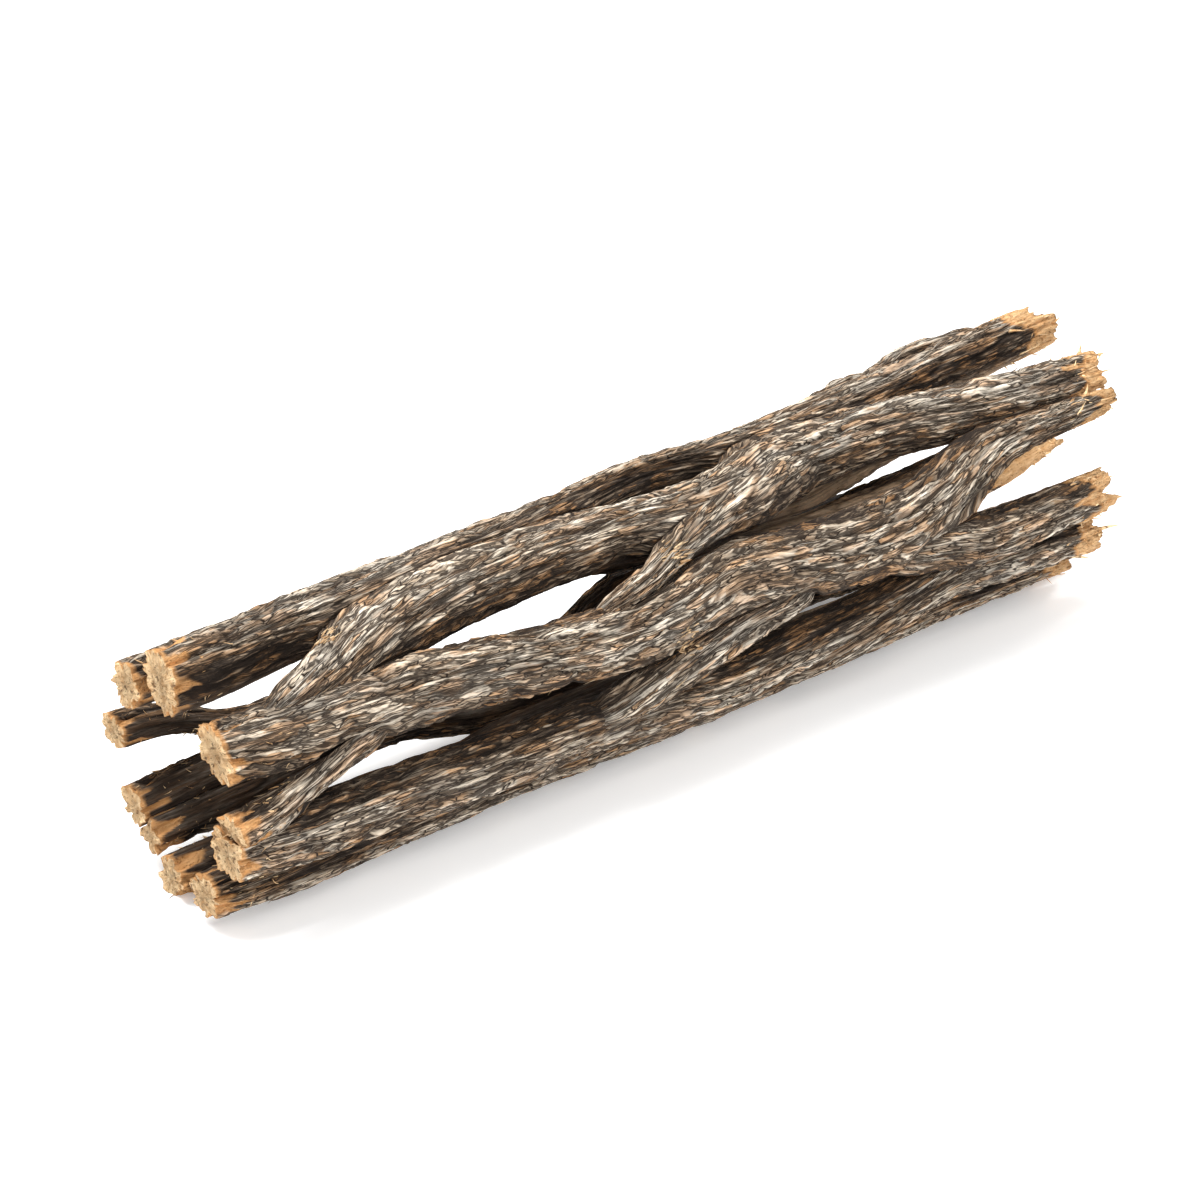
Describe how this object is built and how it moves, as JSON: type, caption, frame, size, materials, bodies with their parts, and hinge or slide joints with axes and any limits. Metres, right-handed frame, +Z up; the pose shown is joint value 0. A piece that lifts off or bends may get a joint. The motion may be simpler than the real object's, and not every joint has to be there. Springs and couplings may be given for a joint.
{
  "type": "cholla cactus skeleton",
  "caption": "Hollow, net-like tube of weathered wood left by a dried cactus stem, sawn flat at one end and broken at the other; used as aquarium, terrarium or craft wood.",
  "frame": {"origin": "middle of the whole length and width, on the surface that the stem lies on", "axes": "+X along the stem, from the sawn end to the broken end; +Z up"},
  "size_m": [0.1676, 0.0386, 0.0373],
  "materials": {
    "weathered_wood": "grey-brown, deeply furrowed dry wood with lengthwise grain, matt",
    "pale_wood": "pale tan, rough and fibrous, where the wood is sawn or broken"
  },
  "bodies": {
    "root": {"front_strand": "weathered_wood", "top_strand": "weathered_wood", "upper_front_strand": "weathered_wood", "lower_front_strand": "weathered_wood", "bottom_front_strand": "weathered_wood", "upper_back_strand": "weathered_wood", "middle_back_strand": "weathered_wood", "long_back_strand": "weathered_wood", "lower_back_strand": "weathered_wood", "underside_strand": "weathered_wood", "right_fork_branch": "weathered_wood", "ridge_branch": "weathered_wood", "underside_branch": "weathered_wood", "upper_link": "weathered_wood", "middle_link": "weathered_wood", "left_link": "weathered_wood", "underside_link": "weathered_wood", "left_back_link": "weathered_wood", "right_back_link": "weathered_wood", "knobbly_twig": "weathered_wood"}
  },
  "joints": []
}
